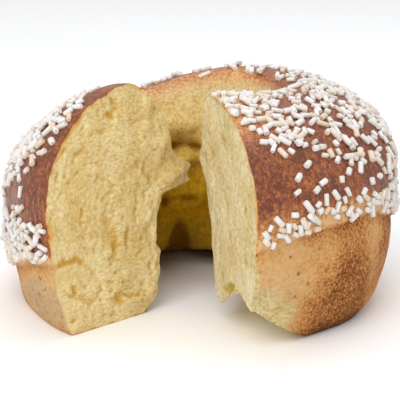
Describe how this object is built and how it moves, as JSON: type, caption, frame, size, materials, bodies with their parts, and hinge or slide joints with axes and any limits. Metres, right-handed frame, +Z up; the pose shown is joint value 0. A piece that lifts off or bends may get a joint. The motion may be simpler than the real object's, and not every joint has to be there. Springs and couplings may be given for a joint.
{
  "type": "ring cake",
  "caption": "Tall domed sweet yeast ring cake with one slice cut out, brown crust, pale yellow crumb on the cuts, and white sugar grains strewn over its top.",
  "frame": {"origin": "middle of the footprint's box, on the table the cake stands on; the ring's axis stands 2.8 mm to -X and 1 mm to -Y of it", "axes": "+Z up along the ring's axis, -Y towards the missing slice, +X to the right as seen from the slice"},
  "size_m": [0.1948, 0.1972, 0.1134],
  "materials": {
    "cake": "egg-washed brown crust with a soft sheen, tan side, pale yellow open crumb on the cuts",
    "sugar": "opaque white pearl sugar, matt"
  },
  "bodies": {
    "root": {"ring_cake": "cake"}
  },
  "joints": []
}
